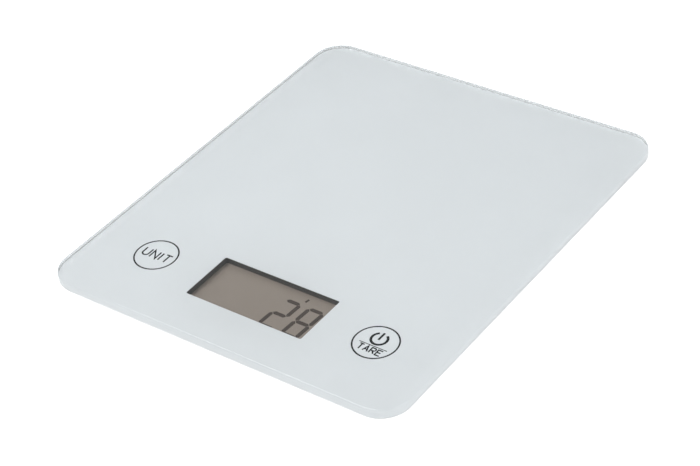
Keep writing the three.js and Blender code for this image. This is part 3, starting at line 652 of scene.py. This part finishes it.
def bar_row_tree():
    """Round bars in a row along Y, each lying along X."""
    tree = bpy.data.node_groups.new("grip_bar_row", "GeometryNodeTree")
    face = tree.interface
    for name, kind in (
            ("Geometry", "NodeSocketGeometry"), ("Count", "NodeSocketInt"), ("Pitch", "NodeSocketFloat"),
            ("Length", "NodeSocketFloat"), ("Radius", "NodeSocketFloat"), ("Centre", "NodeSocketVector"),
            ("Material", "NodeSocketMaterial")):
        face.new_socket(name, in_out="INPUT", socket_type=kind)
    face.new_socket("Geometry", in_out="OUTPUT", socket_type="NodeSocketGeometry")

    def node(kind, settings=None, values=None):
        made = tree.nodes.new(kind)
        for key, value in (settings or {}).items():
            setattr(made, key, value)
        for key, value in (values or {}).items():
            if isinstance(value, bpy.types.NodeSocket):
                tree.links.new(value, made.inputs[key])
            else:
                made.inputs[key].default_value = value
        return made

    given = node("NodeGroupInput").outputs
    step = node("ShaderNodeCombineXYZ", None, {"Y": given["Pitch"]}).outputs[0]
    gaps = node("ShaderNodeMath", {"operation": "SUBTRACT"}, {0: given["Count"], 1: 1.0}).outputs[0]
    half = node("ShaderNodeMath", {"operation": "MULTIPLY"}, {0: gaps, 1: -0.5}).outputs[0]
    back = node("ShaderNodeVectorMath", {"operation": "SCALE"}, {0: step, "Scale": half}).outputs[0]
    start = node("ShaderNodeVectorMath", {"operation": "ADD"}, {0: given["Centre"], 1: back}).outputs[0]
    row = node(
        "GeometryNodeMeshLine", {"mode": "OFFSET"},
        {"Count": given["Count"], "Start Location": start, "Offset": step}).outputs[0]
    bar = node(
        "GeometryNodeMeshCylinder", None,
        {"Vertices": 16, "Radius": given["Radius"], "Depth": given["Length"]}).outputs["Mesh"]
    laid = node(
        "GeometryNodeTransform", None, {"Geometry": bar, "Rotation": (0, math.pi / 2, 0)}).outputs[0]
    many = node("GeometryNodeInstanceOnPoints", None, {"Points": row, "Instance": laid}).outputs[0]
    real = node("GeometryNodeRealizeInstances", None, {"Geometry": many}).outputs[0]
    dressed = node(
        "GeometryNodeSetMaterial", None, {"Geometry": real, "Material": given["Material"]}).outputs[0]
    tree.links.new(dressed, node("NodeGroupOutput").inputs[0])
    return tree


def grown(name, tree, values):
    """Runs a geometry tree with these inputs and keeps its result as a plain mesh object."""
    seed = bpy.data.objects.new(name, bpy.data.meshes.new(name))
    bpy.context.collection.objects.link(seed)
    modifier = seed.modifiers.new("grow", "NODES")
    modifier.node_group = tree
    for item in tree.interface.items_tree:
        if item.in_out == "INPUT" and item.name in values:
            modifier[item.identifier] = values[item.name]
    bpy.context.view_layer.update()
    done = seed.evaluated_get(bpy.context.evaluated_depsgraph_get())
    mesh = bpy.data.meshes.new_from_object(done)
    seed.modifiers.remove(modifier)
    seed.data = mesh
    return seed


def door_grip(material):
    """Ridges under the door's free edge, sunk so that only their backs stand out."""
    middle = Vector(((DOOR_LOW.x + DOOR_HIGH.x) / 2, DOOR_LOW.y + RIDGES_IN, DOOR_LOW.z + RIDGE_SINK))
    ridges = grown("battery_door_ridges", bar_row_tree(), {
        "Count": RIDGES, "Pitch": RIDGE_PITCH, "Length": RIDGE_L, "Radius": RIDGE_R, "Centre": middle,
        "Material": material})
    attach(ridges, "battery_door_body")


# ---- room ---------------------------------------------------------------------------------------
FLOOR_HALF = 3.0
FLOOR_GLOW = 0.82
MIRRORED_GLOW = (0.244, 0.244, 0.244)  # share of the glow that lights and mirrors itself in the scale
SKY, SKY_STRENGTH = (0.95, 0.98, 1.0, 1), 0.35
LAMPS = (  # name, place, size, watts
    ("key_softbox", (-0.6, -0.5, 1.7), 1.3, 14.2),
    ("fill_softbox", (1.2, 0.3, 1.3), 1.2, 4.2),
)


def add_floor():
    """A pale sheet that glows most where it is looked at directly; from below it is clear."""
    finish = Finish("pale_floor", Base_Color=(0.9, 0.9, 0.9, 1), Roughness=0.9)
    looked_at = finish.node("ShaderNodeLightPath", out="Is Camera Ray")
    glow = finish.blend(MIRRORED_GLOW, (1, 1, 1), looked_at)
    finish.surface(Emission_Color=glow, Emission_Strength=FLOOR_GLOW)
    clear = finish.node("ShaderNodeBsdfTransparent")
    below = finish.node("ShaderNodeNewGeometry", out="Backfacing")
    lit = Value(finish, finish.shader.outputs[0])
    mixed = finish.node("ShaderNodeMixShader", None, {0: below, 1: lit, 2: clear})
    finish.links.new(mixed.socket, finish.output.inputs["Surface"])
    mesh = bpy.data.meshes.new("floor")
    corners = [(sx * FLOOR_HALF, sy * FLOOR_HALF, 0) for sx, sy in ((-1, -1), (1, -1), (1, 1), (-1, 1))]
    mesh.from_pydata(corners, [], [(0, 1, 2, 3)])
    mesh.materials.append(finish.material)
    floor = bpy.data.objects.new("floor", mesh)
    bpy.context.collection.objects.link(floor)


def add_lamp(name, place, size, power):
    """A round softbox that faces the scale."""
    data = bpy.data.lights.new(name, "AREA")
    data.shape = "DISK"
    data.size = size
    data.energy = power
    lamp = bpy.data.objects.new(name, data)
    bpy.context.collection.objects.link(lamp)
    lamp.location = place
    lamp.rotation_euler = (-Vector(place)).to_track_quat("-Z", "Y").to_euler()


def add_room():
    add_floor()
    for lamp in LAMPS:
        add_lamp(*lamp)
    world = bpy.data.worlds.new("soft_room")
    world.use_nodes = True
    sky = world.node_tree.nodes["Background"]
    sky.inputs["Color"].default_value = SKY
    sky.inputs["Strength"].default_value = SKY_STRENGTH
    bpy.context.scene.world = world


dress_nodes()
glass_plate(platform_glass("clear_float_glass"), ground_seam("ground_glass_seam"))
dress("display_polariser", display_film("warm_grey_polariser", POLARISER))
back_print(white_print("white_enamel_print"))
legends(legend_ink("dark_legend_ink", LEGEND_INK))
display_figures(legend_ink("display_figure_tone", FIGURE_TONE))
door_grip(moulded_plastic("moulded_white_grip", WHITE_ABS, 0.38))
add_room()
bpy.context.scene.view_settings.view_transform = "Standard"
